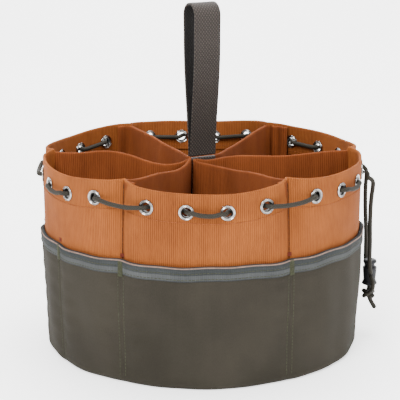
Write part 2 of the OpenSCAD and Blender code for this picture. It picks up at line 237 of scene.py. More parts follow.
# many small threads at once: one short rounded bar is copied to each place by its three directions
def stitches(name, places, along, outward, length, width, material):
    n = 8                                               # sides of the bar; its ends are closed with three quads
    a = np.arange(n) / n * tau
    x = np.array([-.5, -.36, 0, .36, .5]) * length
    r = np.array([.35, .9, 1, .9, .35])[:, None] * width / 2
    bar = np.stack([x[:, None] + 0 * a, r * np.cos(a), r * np.sin(a)], -1).reshape(-1, 3)
    faces = gridFaces(len(x), n, closeV=True)
    caps = np.array([[0, 1, 2, 3], [0, 3, 4, 7], [4, 5, 6, 7]])
    faces = np.vstack([faces[:, ::-1], caps[:, ::-1], caps + (len(x) - 1) * n])
    along, outward = unit(along), unit(outward)
    across = np.cross(outward, along)
    points = (places[:, None] + bar[None, :, :1] * along[:, None] + bar[None, :, 1:2] * across[:, None]
              + bar[None, :, 2:] * outward[:, None])
    faces = (faces[None] + len(bar) * np.arange(len(places))[:, None, None]).reshape(-1, 4)
    return finish(fillMesh(name, points.reshape(-1, 3), faces), name, material)


# a profile of (radius, height) pairs turned about +Z, closed on itself
def turned(profile, sides=48):
    a = np.arange(sides) / sides * tau
    p = np.array(profile)
    ring = np.stack([p[:, None, 0] * np.cos(a), p[:, None, 0] * np.sin(a),
                     np.broadcast_to(p[:, None, 1], (len(p), sides))], -1)
    return ring.reshape(-1, 3), gridFaces(len(p), sides, closeU=True, closeV=True)


class Shader:
    def __init__(self, name, roughness, **sockets):
        self.material = bpy.data.materials.new(name)
        self.material.use_nodes = True
        self.tree = self.material.node_tree
        self.bsdf = self.tree.nodes["Principled BSDF"]
        self.bsdf.inputs["Roughness"].default_value = roughness
        for socket, value in sockets.items():
            self.bsdf.inputs[socket.replace("_", " ")].default_value = value

    def node(self, kind, **values):
        made = self.tree.nodes.new(kind)
        for key, value in values.items():
            if key in made.inputs:
                made.inputs[key].default_value = value
            else:
                setattr(made, key, value)
        return made

    def link(self, a, b):
        self.tree.links.new(a, b)

    def coords(self, source="UV", scale=(1, 1, 1)):
        where = self.node("ShaderNodeTexCoord")
        mapping = self.node("ShaderNodeMapping")
        mapping.inputs["Scale"].default_value = scale
        self.link(where.outputs[source], mapping.inputs["Vector"])
        return mapping.outputs["Vector"]

    def noise(self, vector, scale, detail=3, roughness=.5):
        made = self.node("ShaderNodeTexNoise")
        made.inputs["Scale"].default_value = scale
        made.inputs["Detail"].default_value = detail
        made.inputs["Roughness"].default_value = roughness
        self.link(vector, made.inputs["Vector"])
        return made.outputs["Fac"]

    # bands whose pitch is given in metres along their direction; a diagonal band's pitch is along one axis
    def wave(self, vector, pitch, direction, distortion=0):
        made = self.node("ShaderNodeTexWave", wave_type="BANDS", bands_direction=direction)
        made.inputs["Scale"].default_value = tau / (10 if direction == "DIAGONAL" else 20) / pitch
        made.inputs["Distortion"].default_value = distortion
        made.inputs["Detail"].default_value = 2
        made.inputs["Detail Scale"].default_value = 3
        self.link(vector, made.inputs["Vector"])
        return made.outputs["Fac"]

    def maths(self, operation, a, b):
        made = self.node("ShaderNodeMath", operation=operation)
        for k, value in enumerate((a, b)):
            if isinstance(value, (int, float)):
                made.inputs[k].default_value = value
            else:
                self.link(value, made.inputs[k])
        return made.outputs[0]

    def ramp(self, fac, *stops):
        made = self.node("ShaderNodeValToRGB")
        while len(made.color_ramp.elements) < len(stops):
            made.color_ramp.elements.new(.5)
        for element, (place, colour) in zip(made.color_ramp.elements, stops):
            element.position = place
            element.color = (*colour, 1)
        self.link(fac, made.inputs["Fac"])
        return made.outputs["Color"]

    def colour(self, value):
        self.link(value, self.bsdf.inputs["Base Color"])

    def bump(self, height, depth, strength=1):
        made = self.node("ShaderNodeBump")
        made.inputs["Strength"].default_value = strength
        made.inputs["Distance"].default_value = depth
        self.link(height, made.inputs["Height"])
        self.link(made.outputs["Normal"], self.bsdf.inputs["Normal"])


# woven cloth: threads both ways as two waves, the warp standing prouder, and slow patches of shade
# rib and pick are warp and weft pitches in metres, patch and slubRun noise scales, streaky the streaks' depth
def wovenCloth(name, dark, light, rib, pick, warpShare, patch, depth, streaky, slubRun=120):
    s = Shader(name, .95, Specular_IOR_Level=.12)
    uv = s.coords()
    warp = s.wave(uv, rib, "X", .7)
    weft = s.wave(uv, pick, "Y", .9)
    thread = s.maths("ADD", s.maths("MULTIPLY", warp, warpShare), s.maths("MULTIPLY", weft, 1 - warpShare))
    slub = s.noise(s.coords(scale=(950, slubRun, 1)), 1, 4, .65)
    streak = s.noise(s.coords(scale=(160, 9, 1)), 1, 3, .5)
    cloudy = s.noise(s.coords("Object"), patch, 4, .55)
    height = s.maths("ADD", s.maths("MULTIPLY", thread, .6), s.maths("MULTIPLY", slub, .5))
    tone = s.maths("ADD", s.maths("MULTIPLY", height, .45), s.maths("MULTIPLY", cloudy, .4))
    tone = s.maths("ADD", tone, s.maths("MULTIPLY", s.maths("SUBTRACT", streak, .5), streaky))
    s.colour(s.ramp(tone, (.22, dark), (.62, light)))
    s.bump(height, depth)
    return s.material


canvasShade = wovenCloth("ribbedCanvas", (.072, .0165, .0034), (.250, .0745, .0165),
                         rib=.0017, pick=.0008, warpShare=.7, patch=16, depth=.0003, streaky=.14)
# a darker, redder copy of the wall canvas for the dividers and the base lining: painted shade for the inside of
# the bag
canvasInShade = wovenCloth("shadedCanvas", (.056, .0115, .0026), (.190, .050, .0125),
                        rib=.0017, pick=.0008, warpShare=.7, patch=13, depth=.0003, streaky=.2)
oliveShade = wovenCloth("oliveCanvas", (.0088, .0077, .0053), (.0310, .0270, .0200),
                        rib=.0009, pick=.0009, warpShare=.5, patch=14, depth=.00015, streaky=.04, slubRun=600)
tapeShade = wovenCloth("grosgrain", (.010, .0112, .0114), (.037, .0405, .041),
                       rib=.0016, pick=.0008, warpShare=.25, patch=30, depth=.00018, streaky=.05)


# one finish whose shade wanders between two colours in small patches
def plainShade(name, roughness, dark, light, patch, **sockets):
    s = Shader(name, roughness, **sockets)
    s.colour(s.ramp(s.noise(s.coords("Object"), patch, 3), (.3, dark), (.7, light)))
    return s.material


threadDark = plainShade("oliveThread", .8, (.020, .022, .011), (.038, .040, .021), 600, Specular_IOR_Level=.2)
threadRed = plainShade("rustThread", .8, (.060, .010, .005), (.13, .020, .008), 600, Specular_IOR_Level=.2)
threadTan = plainShade("tanThread", .8, (.13, .034, .008), (.23, .062, .014), 600, Specular_IOR_Level=.2)
# the wall seams' thread: a stitch line, made dark to carry the painted shade of each seam's crease as well
seamStitchAndShade = plainShade("seamThread", .85, (.022, .008, .004), (.060, .020, .009), 400, Specular_IOR_Level=.2)


def cordShade():
    s = Shader("braidedCord", .75, Specular_IOR_Level=.25)
    uv = s.coords()
    one = s.wave(uv, .0021, "DIAGONAL", .3)
    other = s.wave(s.coords(scale=(1, -1, 1)), .0021, "DIAGONAL", .3)
    braid = s.maths("MAXIMUM", one, other)
    fleck = s.noise(uv, 700, 2)
    tone = s.maths("ADD", s.maths("MULTIPLY", braid, .6), s.maths("MULTIPLY", fleck, .5))
    s.colour(s.ramp(tone, (.35, (.0025, .0021, .0013)), (.85, (.0195, .0160, .0098))))
    s.bump(braid, .0001)
    return s.material


# webbing's face: two slanting waves crossed give the diamonds, and plain ribs run along both edges
def webbingShade(name, dark, light):
    s = Shader(name, .65, Specular_IOR_Level=.25)
    uv = s.coords()
    along = s.wave(uv, .0011, "Y", .15)
    one = s.wave(s.coords(scale=(1, .8, 1)), .0027, "DIAGONAL", .1)
    other = s.wave(s.coords(scale=(1, -.8, 1)), .0027, "DIAGONAL", .1)
    diamonds = s.maths("MULTIPLY", one, other)
    height = s.maths("ADD", s.maths("MULTIPLY", along, .35), s.maths("MULTIPLY", diamonds, .8))
    fleck = s.noise(uv, 1200, 2)
    tone = s.maths("ADD", s.maths("MULTIPLY", height, .75), s.maths("MULTIPLY", fleck, .35))
    s.colour(s.ramp(tone, (.25, dark), (.8, light)))
    s.bump(height, .0003)
    return s.material


def metalShade():
    s = Shader("brightNickel", .2, Metallic=1.0)
    object3d = s.coords("Object")
    scuff = s.noise(object3d, 260, 4, .6)
    s.colour(s.ramp(scuff, (.3, (.20, .19, .18)), (.7, (.46, .45, .43))))
    s.link(s.maths("ADD", s.maths("MULTIPLY", scuff, .18), .07), s.bsdf.inputs["Roughness"])
    return s.material


def plasticShade():
    s = Shader("blackPlastic", .5, Specular_IOR_Level=.22)
    object3d = s.coords("Object")
    grain = s.noise(object3d, 1500, 2)
    s.colour(s.ramp(s.noise(object3d, 200, 3), (.3, (.0045, .0045, .006)), (.7, (.011, .011, .013))))
    s.bump(grain, .00002)
    return s.material


def boardShade():
    s = Shader("baseBoard", .8)
    s.colour(s.ramp(s.noise(s.coords("Object"), 120, 5), (.3, (.02, .018, .015)), (.7, (.07, .06, .05))))
    return s.material


cordFinish, nickel, plastic, board = cordShade(), metalShade(), plasticShade(), boardShade()
webFinish = webbingShade("webbingFace", (.0055, .0042, .0034), (.050, .038, .031))
# a much darker copy of the webbing for the handle loop's inner face: painted shade inside the loop
shadedWebbing = webbingShade("webbingInShade", (.002, .0018, .0016), (.012, .010, .009))
print("materials made")

# camera: it stands in front, a little above, and looks slightly down
view = dict(distance=1.300, height=16.18, turn=-1.54, middle=.086, aim=.1251, lens=130.7, left=.0017)
el, az = radians(view["height"]), radians(view["turn"])
back = Vector((np.sin(az) * np.cos(el), -np.cos(az) * np.cos(el), np.sin(el)))
camera = bpy.data.objects.new("camera", bpy.data.cameras.new("camera"))
camera.data.lens = view["lens"]
camera.data.sensor_width = 36
camera.data.clip_start = .05
camera.location = Vector((-view["left"], 0, view["middle"])) + back * view["distance"]
looking = Vector((-view["left"], 0, view["aim"])) - camera.location
camera.rotation_euler = looking.to_track_quat("-Z", "Y").to_euler()
scene.collection.objects.link(camera)
scene.camera = camera
print("camera placed")

grommet = dict(pitch=.033, drop=.0145, flangeR=.0062, boreR=.0041, cut=.0050)


# four grommets on each sector's arc, evenly spaced; each one's direction from the bag's axis follows from its
# angle about the arc's own centre
def grommetPlaces():
    spots = []
    for k in range(6):
        for i in range(4):
            psi = (i - 1.5) * grommet["pitch"] / arcR
            theta = sector * (k + .5) + np.arctan2(arcR * np.sin(psi), arcShift + arcR * np.cos(psi))
            out = sector * (k + .5) + psi
            z = float(rimHeight(np.array(theta))) - grommet["drop"]
            spots.append(dict(k=k, i=i, theta=theta, out=out, z=z))
    return spots


grommets = grommetPlaces()


# a grommet's directions out of the wall and along it
def grommetAxes(g):
    c, s = np.cos(g["out"]), np.sin(g["out"])
    return np.array([c, s, 0]), np.array([-s, c, 0])


# a point near grommet g: s along the wall, n outwards from the middle of its cloth, rise upwards
def nearGrommet(g, s, n, rise=0.0):
    r = float(wallRadius(np.array(g["theta"]), np.array(g["z"]))) - bag["cloth"]
    centre = np.array([r * np.cos(g["theta"]), r * np.sin(g["theta"]), g["z"] + rise])
    outward, along = grommetAxes(g)
    return centre + s * along + n * outward


lacing = dict(diameter=.0038, turn=[(-.0058, -.0052), (-.0030, -.0047), (-.0010, -.0019), (.0010, .0019),
                                    (.0030, .0045), (.0058, .0049)], stub=.0042,
              entry=[(.0002, .0018), (.0008, -.0018), (.0026, -.0042), (.0054, -.0047)])
lock = dict(x=seamR + .0135, z=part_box("lock_barrel")[0].z)


# the cord's route: along the wall and out of it in turn, through each grommet, as pairs of places near its bore
def lacedRoute():
    points = []
    for g in grommets:
        turn = lacing["turn"]
        first, last = g["k"] == 0 and g["i"] == 0, g["k"] == 5 and g["i"] == 3
        if first:
            points.append(nearGrommet(g, 0, lacing["stub"]))
            points += [nearGrommet(g, s, n) for s, n in lacing["entry"]]
        elif last:
            points += [nearGrommet(g, -s, n) for s, n in lacing["entry"][::-1]]
            points.append(nearGrommet(g, 0, lacing["stub"]))
        elif g["i"] % 2 == 0:
            points += [nearGrommet(g, -s, n) for s, n in turn[::-1]]
        else:
            points += [nearGrommet(g, s, n) for s, n in turn]
        outside = g["i"] in (1, 3) and not last
        if outside:                                   # the outer runs slacken a little and hang
            nextOne = grommets[(g["k"] * 4 + g["i"] + 1) % 24]
            a, b = nearGrommet(g, .0056, .0047), nearGrommet(nextOne, -.0056, .0047)
            gap = unit((a + b)[:2])
            for t, sag in ((.3, .0012), (.7, .0014)):
                p = a * (1 - t) + b * t
                p[:2] += gap * .0012
                p[2] -= sag
                points.append(p)
    return points


# routes of the free ends: x from the lock's axis, z from its underside, as the part's own source has them
frontRoute = [(-2.6, -21.5, 100), (-3.2, -19, 86), (-3.4, -16.5, 72), (-3, -14.4, 58), (-2.4, -13.2, 44),
              (-2.3, -12.6, 32), (-2.2, -12.2, 24), (-1.4, -11.2, 17.6), (0, -7.4, 13.1), (0, 0, 13.1),
              (0, 7.4, 13.1), (1.2, 11.2, 9.2), (1.8, 11.4, 4), (1.4, 8.8, -1), (.4, 5, -4.6), (0, 2.6, -8),
              (.6, 2.2, -13), (3.4, 2.4, -19), (6.6, 2.8, -24)]
backRoute = [(-2.6, 21.5, 100), (-3.2, 19, 86), (-3.4, 16.5, 72), (-3, 14.4, 58), (-2.4, 13.2, 44),
             (-2.3, 12.6, 30), (-2.2, 12.2, 20), (-1.4, 11.2, 13.7), (0, 7.4, 9.2), (0, 0, 9.2),
             (0, -7.4, 9.2), (1.2, -11.2, 5.3), (1.8, -11.2, 1), (1.4, -8.6, -2.6), (.4, -4.8, -5.2),
             (0, -2.6, -8), (.6, -2.2, -13), (3, -2.4, -18), (5.6, -2.8, -22.4)]


# a route's points in metres, moved to the lock
def lockPoints(route):
    return [np.array([lock["x"], 0, lock["z"]]) + np.array(p) / 1000 for p in route]


lacedPath, lacedLength = smoothLine(lacedRoute(), .0011)
drawstring = cordMesh("drawstringCord", lacedPath, lacing["diameter"], cordFinish, sides=14)
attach(drawstring, "root")
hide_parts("drawstring")
print("drawstring laced, %.3f m" % lacedLength)


# each free end is two pieces that meet inside the lock, so that the lock can slide along them
def freeEnd(label, g, route, split):
    points = lockPoints(route)
    leave = ((lacing["stub"], 0), (.0058, -.0002), (.0070, -.0014), (.0076, -.0046))
    start = [nearGrommet(g, 0, out, fall) for out, fall in leave]
    upper, upperLength = smoothLine(start + points[:split + 1], .0009)
    lower, lowerLength = smoothLine(points[split:], .0009)
    top = cordMesh(label + "Upper", upper, lacing["diameter"], cordFinish)
    tip = cordMesh(label + "Lower", lower, lacing["diameter"], cordFinish)
    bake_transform(top)
    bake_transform(tip)
    return top, upperLength + lowerLength


frontTop, frontLength = freeEnd("tailFront", grommets[23], frontRoute, 9)
backTop, backLength = freeEnd("tailBack", grommets[0], backRoute, 9)
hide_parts("tail_front")
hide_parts("tail_back")
print("free ends hung, %.3f m and %.3f m" % (frontLength, backLength))

sewing = dict(foot=.0058, valley=.0019, valleyWidth=.0015, draw=.0009, drawWidth=.010, press=.0004,
              pressWidth=.009)


# one panel's middle surface: up the outer face, over the folded rim and down the inside as the facing
def wallGrid(k):
    s = np.linspace(0, 1, 132)
    theta = sector * (k + .6 * s + .4 * (.5 - .5 * np.cos(np.pi * s)))[:, None]
    top = rimHeight(theta) - bag["foldR"]
    low = sewing["foot"]
    zOut = low + (top - low) * np.linspace(0, 1, 128)
    turn = np.linspace(0, np.pi, 9)[1:-1]
    zFold = top + bag["foldR"] * np.sin(turn)
    zIn = top - bag["facingDrop"] * np.linspace(0, 1, 22)
    z = np.concatenate([zOut, zFold, zIn], 1)
    inset = np.concatenate([0 * zOut, bag["foldR"] * (1 - np.cos(turn)) + 0 * zFold,
                            2 * bag["foldR"] + 0 * zIn], 1)
    r = wallRadius(theta, z) - bag["cloth"] / 2 - inset
    fromSeam = np.minimum(theta - sector * k, sector * (k + 1) - theta) * seamR
    # each seam is sewn down into a narrow valley, and the cloth beside it draws in
    r -= (sewing["valley"] * np.exp(-(fromSeam / sewing["valleyWidth"])**2)
          + sewing["draw"] * np.exp(-(fromSeam / sewing["drawWidth"])**2) * (z < top))
    pressed = np.where(inset > bag["foldR"], -1, 1) * sewing["press"]
    for g in grommets[4 * k:4 * k + 4]:                          # the two flanges squeeze the cloth a little
        near = np.hypot((theta - g["theta"]) * seamR, z - g["z"])
        r -= pressed * np.exp(-(near / sewing["pressWidth"])**2)
    return polar(theta, r, z)


# the panel is cut away round each grommet's bore
def wallPanel(k):
    grid = wallGrid(k)
    middle = (grid[1:, 1:] + grid[:-1, 1:] + grid[1:, :-1] + grid[:-1, :-1]) / 4
    theta = np.arctan2(middle[..., 1], middle[..., 0])
    keep = np.ones(theta.shape, bool)
    for g in grommets[4 * k:4 * k + 4]:
        turn = np.mod(theta - g["theta"] + np.pi, tau) - np.pi
        keep &= np.hypot(turn * seamR, middle[..., 2] - g["z"]) > grommet["cut"]
    panel = clothSheet("wallPanel%d" % (k + 1), grid, bag["cloth"], canvasShade, keep)
    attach(panel, "root")
    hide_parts("wall_panel_%d" % (k + 1), *(["rim_facing"] if k == 0 else []))


for k in range(6):
    wallPanel(k)
print("wall panels made")

# each is one doubled cloth folded into a V; a point is x and y in plan, then the height of its top edge, in mm
divider = dict(foldR=.00095, cloth=.0009, foot=baseTop + .0006)


# a place at the wall, in a direction and set in from its outer face
def wallSpot(degrees, inset, top):
    a = radians(degrees)
    r = (float(lobeRadius(np.array(a))) - inset) * 1000
    return (r * np.cos(a), r * np.sin(a), top)


plans = dict(
    Left=[wallSpot(171.5, .0053, 168), wallSpot(175, .0051, 168.5), wallSpot(178.6, .0058, 169),
          wallSpot(180, .0105, 169.2), (-119, 1.5, 168.6), (-104, 6, 168), (-90, 9.5, 168),
          (-77, 7.5, 167.3), (-62, 2, 165.3), (-49, -4, 162.6), (-36, -9, 160.6), (-26, -11, 160.4),
          (-18.5, -10.2, 161.4), (-13.2, -9.2, 163.5), (-11, -10.4, 165.4), (-11.6, -14, 164.6),
          (-15.5, -25, 162.6), (-24, -41, 162.6), (-36, -63, 164.6), (-50, -88, 167.6), (-61, -107.5, 170.4),
          wallSpot(240, .0105, 171.2), wallSpot(241.4, .0058, 170.8), wallSpot(245, .0051, 170)],
    Right=[wallSpot(295, .0051, 169.6), wallSpot(298.6, .0058, 170.4), wallSpot(300, .0105, 170.6),
           (59.6, -103.5, 169.6), (47, -80, 167), (33, -57, 164.4), (18, -35, 162.8), (6, -21, 161.9),
           (-2.6, -14.2, 162.2), (-6.4, -11, 163.6), (-6.8, -8.2, 163.7), (-3.6, -6.2, 163.6),
           (2.2, -3, 162.3), (8.6, .3, 162.1), (14.5, 3.2, 162.5), (21, 4, 163.4), (33, 4.8, 164),
           (47, 5.2, 163.4), (63, 4.6, 163.7), (80, 3.2, 165), (99, 1.4, 166.8), (117, .4, 168.4),
           wallSpot(360, .0105, 169.4), wallSpot(361.4, .0058, 169), wallSpot(365, .0051, 168.4)],
    Back=[wallSpot(51.2, .0054, 168.6), wallSpot(53, .0072, 169), wallSpot(54.8, .0052, 169.2),
          wallSpot(56.6, .0078, 169.4), wallSpot(58.4, .0056, 169.6), wallSpot(60, .0105, 169.6),
          (59.6, 103.5, 168.8), (48, 83, 166.6), (36, 61, 164.6), (26, 40, 163.4), (18.5, 23, 163),
          (13.4, 13.6, 163.8), (8, 9.2, 164), (0, 5.2, 164), (-7, 1.8, 164), (-11.6, 2.6, 164),
          (-15.5, 12, 163.8), (-23, 31, 164.4), (-35, 56, 166), (-49, 82, 168), (-60, 103.5, 169.6),
          wallSpot(120, .0105, 169.8), wallSpot(121.4, .0058, 169.6), wallSpot(125, .0051, 169)])


# the cloth goes up one face, round the fold along its top edge and down the other face, along a line in plan
def foldedDivider(label, plan, nodes, phase):
    path, length = smoothLine(np.array(plan) / 1000, .0017)
    level = path.copy()
    level[:, 2] = 0
    ahead = unit(np.gradient(level, axis=0))
    side = np.stack([-ahead[:, 1], ahead[:, 0], 0 * ahead[:, 0]], -1)
    run = runLengths(level)
    top = path[:, 2] + .0005 * np.sin(run * 95 + phase) - divider["foldR"]
    # up one face, round the fold, down the other; slow waves move both faces together lower down
    up = np.linspace(0, 1, 74)[:, None]
    turn = np.linspace(0, np.pi, 9)[1:-1, None]
    rise = top - divider["foot"]
    z = np.concatenate([divider["foot"] + rise * up, top + divider["foldR"] * np.sin(turn) + 0 * rise,
                        divider["foot"] + rise * up[::-1]], 0)
    off = np.concatenate([0 * up - 1, -np.cos(turn), 0 * up + 1], 0) * divider["foldR"] + 0 * z
    held = np.minimum(1, np.minimum(run, run[-1] - run) / .03)
    drop = top.max() - z
    middle = np.exp(-((run - run[-1] / 2) / .022)**2)
    wave = .0016 * np.sin(run * 62 + 20 * z + phase) + .0009 * np.sin(run * 150 - 45 * z + 2 * phase)
    off = off + wave * held * (1 - .8 * middle) * np.clip(drop / .03, 0, 1)
    grid = level[:, None] + side[:, None] * off.T[..., None]
    grid[..., 2] = z.T
    # the divider takes the darker copy of the canvas, which is painted shade
    piece = clothSheet("divider" + label, grid, divider["cloth"], canvasInShade)
    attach(piece, "root")
    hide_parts(*nodes)


foldedDivider("Left", plans["Left"], ("divider_4", "divider_5"), .4)
foldedDivider("Right", plans["Right"], ("divider_6", "divider_1"), 1.9)
foldedDivider("Back", plans["Back"], ("divider_2", "divider_3"), 3.3)
print("dividers made")

# degrees round from +X, then how far the middle of each pocket stands off the wall, in mm
pockets = [(0, 30, .8), (30, 60, .9), (60, 120, 1.4), (120, 180, 1.2), (180, 210, .9), (210, 240, 1),
           (240, 300, 1.1), (300, 360, 1.2)]
skirt = dict(gap=.0007, cloth=.0012, curl=.005, top=pocketTop)


# how far pocket p's cloth stands off the wall: a sine across its width, more at the mouth than at the foot, drawn
# in at the seams, with small wrinkles
def pocketStand(p, theta, z):
    a, b, bulge = pockets[p]
    u = np.clip((theta - radians(a)) / radians(b - a), 0, 1)
    rise = .35 + .65 * np.sin(np.pi / 2 * np.clip(z / pocketTop, 0, 1))
    span = radians(b - a) * seamR
    fromSeam = np.minimum(u, 1 - u) * span
    pull = 1 - np.exp(-(fromSeam / .006)**2)
    wrinkle = (.0005 * np.sin(span * u * 160 + 26 * z + p) * np.sin(np.pi * z / pocketTop)
               + .0004 * np.exp(-(fromSeam / .02)**2) * np.sin(z * 420 + 2 * p) * (z < .09))
    sewn = (skirt["gap"] + skirt["cloth"] / 2) * (.6 + .4 * pull)
    return sewn + bulge / 1000 * np.sin(np.pi * u)**.8 * rise + wrinkle * pull


# the cloth curls in under the foot on a quarter circle
def pocketPoints(p, theta, z, out=0.0):
    curl = np.clip(1 - z / skirt["curl"], 0, 1)
    r = wallRadius(theta, np.maximum(z, .002)) + pocketStand(p, theta, z)
    r = r - skirt["curl"] * (1 - np.sqrt(np.maximum(1 - curl**2, 0))) + out
    return polar(theta, r, z)


def pocketPanel(p):
    a, b, _ = pockets[p]
    n = int(round((b - a) * 2.1))
    s = np.linspace(0, 1, n)
    theta = radians(a) + radians(b - a) * (.6 * s + .4 * (.5 - .5 * np.cos(np.pi * s)))[:, None]
    bend = np.linspace(.06, np.pi / 2, 9)[:-1]
    z = np.concatenate([.0007 + (skirt["curl"] - .0007) * (1 - np.cos(bend)),
                        np.linspace(skirt["curl"], skirt["top"] - .0012, 82)])
    grid = pocketPoints(p, theta, z[None] + 0 * theta)
    panel = clothSheet("pocketPanel%d" % (p + 1), grid, skirt["cloth"], oliveShade)
    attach(panel, "root")
    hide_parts("pocket_%d" % (p + 1))


for p in range(8):
    pocketPanel(p)


# the tape folds over the pockets' top edge: an outer face with a piped edge along its top, and a narrow inner one;
# its section is (outwards, upwards) pairs from the pocket's top edge, carried round all eight pockets
def tapeRing():
    outside = [(0, -.0118), (.00015, -.0116), (.00028, -.0108), (.0003, -.0085), (.00028, -.0064),
               (.0001, -.0059), (.00028, -.0054), (.0004, -.0040), (.0004, -.0023), (.00005, -.00185),
               (.00055, -.0014), (.0008, -.0008), (.0007, -.0002), (.0003, .0002)]
    depth = skirt["cloth"] / 2 + .0006
    inside = [(-.0003, .0004), (-depth + .0002, .0002), (-depth - .0003, -.0004), (-depth - .0003, -.008),
              (-depth + .0002, -.0084), (.0004, -.0100)]
    profile = [(o + depth, h) for o, h in outside] + inside
    rows = []
    for p, (a, b, _) in enumerate(pockets):
        n = int(round((b - a) * 2.2))
        s = np.arange(n) / n
        theta = radians(a) + radians(b - a) * (.6 * s + .4 * (.5 - .5 * np.cos(np.pi * s)))
        height = skirt["top"] + .0005 * np.sin(theta * 9 + 2) + .0003 * np.sin(theta * 23)
        rows.append(np.stack([pocketPoints(p, theta, height + h, o) for o, h in profile], 1))
    ring = np.concatenate(rows)
    return ring, gridFaces(len(ring), len(profile), closeU=True, closeV=True)


ring, faces = tapeRing()
run = runLengths(ring[:, 3])
across = runLengths(ring[0])
tapeCoords = np.stack(np.broadcast_arrays(run[:, None], across[None]), -1).reshape(-1, 2)
mesh = fillMesh("pocketBinding", ring.reshape(-1, 3), faces, tapeCoords)
binding = finish(mesh, "pocketBinding", tapeShade)
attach(binding, "root")
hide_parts("pocket_binding")
edgeShade = plainShade("pipedEdge", .85, (.11, .070, .055), (.18, .115, .09), 400, Specular_IOR_Level=.2)
paleShade = wovenCloth("paleGrosgrain", (.021, .0225, .023), (.064, .067, .067),
                       rib=.0016, pick=.0008, warpShare=.25, patch=30, depth=.00018, streaky=.05)
binding.data.materials.append(edgeShade)
binding.data.materials.append(paleShade)
tape = dict(piped=(11, 12), pale=(2, 3))                # strips of the section that get another finish
strip = np.arange(len(faces)) % ring.shape[1]
finishes = np.where(np.isin(strip, tape["piped"]), 1, np.where(np.isin(strip, tape["pale"]), 2, 0))
binding.data.polygons.foreach_set("material_index", finishes.astype(np.int32))


# base cloth, board and lining: closed discs whose rims follow the wall's foot and are rounded by a half circle
def disc(name, inset, low, high, edge, material, nodes, turns=240):
    a = np.arange(turns) / turns * tau
    bend = np.linspace(-np.pi / 2, np.pi / 2, 9)
    half = (high - low) / 2
    r0 = wallRadius(a, np.array(low)) - inset
    centre = np.array([.0, .25, .5, .75, .93])
    low3 = [polar(a, r0 * c, low + 0 * a) for c in centre[1:]]
    rim = [polar(a, r0 - edge * (1 - np.cos(t)), (low + high) / 2 + half * np.sin(t)) for t in bend]
    high3 = [polar(a, r0 * c, high + 0 * a) for c in centre[:0:-1]]
    rings = np.stack(low3 + rim + high3)
    n = len(rings)
    points = np.vstack([rings.reshape(-1, 3), [[0, 0, low]], [[0, 0, high]]])
    body = gridFaces(n, turns, closeV=True)
    k = np.arange(turns)
    lids = [(n * turns, int((i + 1) % turns), int(i)) for i in k]
    lids += [(n * turns + 1, (n - 1) * turns + int(i), (n - 1) * turns + int((i + 1) % turns)) for i in k]
    piece = finish(mixedMesh(name, points, body[:, ::-1].tolist() + lids, points[:, :2]), name, material)
    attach(piece, "root")
    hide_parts(*nodes)
    return piece


across = round(2 * (seamR - .0042), 4)
# the base lining takes the darker copy of the canvas, which is painted shade
for name, inset, low, high, shade, node, slot in (
        ("baseCloth", .0032, .0002, .0014, oliveShade, "base_panel", "pocket_cloth"),
        ("baseBoard", .0034, .0017, .0035, board, "base_board", "board"),
        ("baseLining", .0016, .0038, .0048, canvasInShade, "base_lining", "canvas")):
    piece = disc(name, inset, low, high, .0004, shade, (node,))
print("pockets, binding and base made")

# radius and height of a bright ring's section, outwards from the cloth's middle; the rear ring is its mirror
ringSteps, ringSides = 19, 40


def ringSection(innerR, outerR, base, crown):
    a = np.linspace(0, np.pi, ringSteps)
    half, centre = (outerR - innerR) / 2, (outerR + innerR) / 2
    channel = 1 - .5 * np.exp(-((a - np.pi / 2) / .5)**2)
    dome = list(zip(centre - half * np.cos(a), base + crown * np.sin(a)**.6 * channel))
    return dome + [(outerR - .0002, base - .00025), (innerR + .0004, base - .00025)]


# the sections are turned about each grommet's own axis
def placedRings(name, sections, material, sides=ringSides):
    points, faces, start = [], [], 0
    for g in grommets:
        centre = nearGrommet(g, 0, 0)
        outward, along = grommetAxes(g)
        for section in sections:
            p, f = turned(section, sides)
            points.append(centre + p[:, :1] * along + p[:, 1:2] * np.array([0, 0, 1.]) + p[:, 2:] * outward)
            faces.append(f + start)
            start += len(p)
    return finish(fillMesh(name, np.vstack(points), np.vstack(faces)), name, material)


cloth = bag["foldR"] + bag["cloth"] / 2
bore, flange = grommet["boreR"], grommet["flangeR"]
# a darker copy of the nickel for the eyelets' barrels: painted shade inside each bore
shadedNickel = plainShade("nickelInShade", .4, (.07, .068, .065), (.14, .135, .13), 500, Metallic=1.0)
tube = dict(wall=.00045, front=cloth + .0008, rear=-cloth - .0011)
barrel = [(bore, tube["rear"]), (bore, tube["front"]), (bore + tube["wall"], tube["front"]),
          (bore + tube["wall"], tube["rear"])]
frontRing = ringSection(bore + .0003, flange + .0001, cloth, .0012)
rearRing = [(r, -h) for r, h in ringSection(bore + .0003, flange + .0001, cloth, .0011)][::-1]
eyelets = placedRings("grommetEyelets", [frontRing, barrel], nickel)
washers = placedRings("grommetWashers", [rearRing], nickel)
eyelets.data.materials.append(shadedNickel)
perRing, perBarrel = (ringSteps + 2) * ringSides, 4 * ringSides
# the barrel faces take the darker nickel, which is painted shade
onBarrel = np.arange(len(eyelets.data.polygons)) % (perRing + perBarrel) >= perRing
eyelets.data.polygons.foreach_set("material_index", onBarrel.astype(np.int32))
for piece, node in ((eyelets, "grommet_eyelets"), (washers, "grommet_washers")):
    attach(piece, "root")
    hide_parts(node)
print("grommets set")

# handle: one webbing loop and its sewn-in ends
strap = dict(turn=26, width=.0252, thick=.0017, fold=.166, foldR=.00155, loopR=.011, anchor=.07)
strap["bend"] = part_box("handle_strap")[1].z - strap["fold"] - strap["loopR"] - .00075


# the loop stands turned about +Z: across is along its width, off is through its flat, up is height
def strapPoint(across, off, up):
    a = radians(strap["turn"])
    return np.stack([across * np.cos(a) - off * np.sin(a), across * np.sin(a) + off * np.cos(a),
                     up + 0 * across], -1)


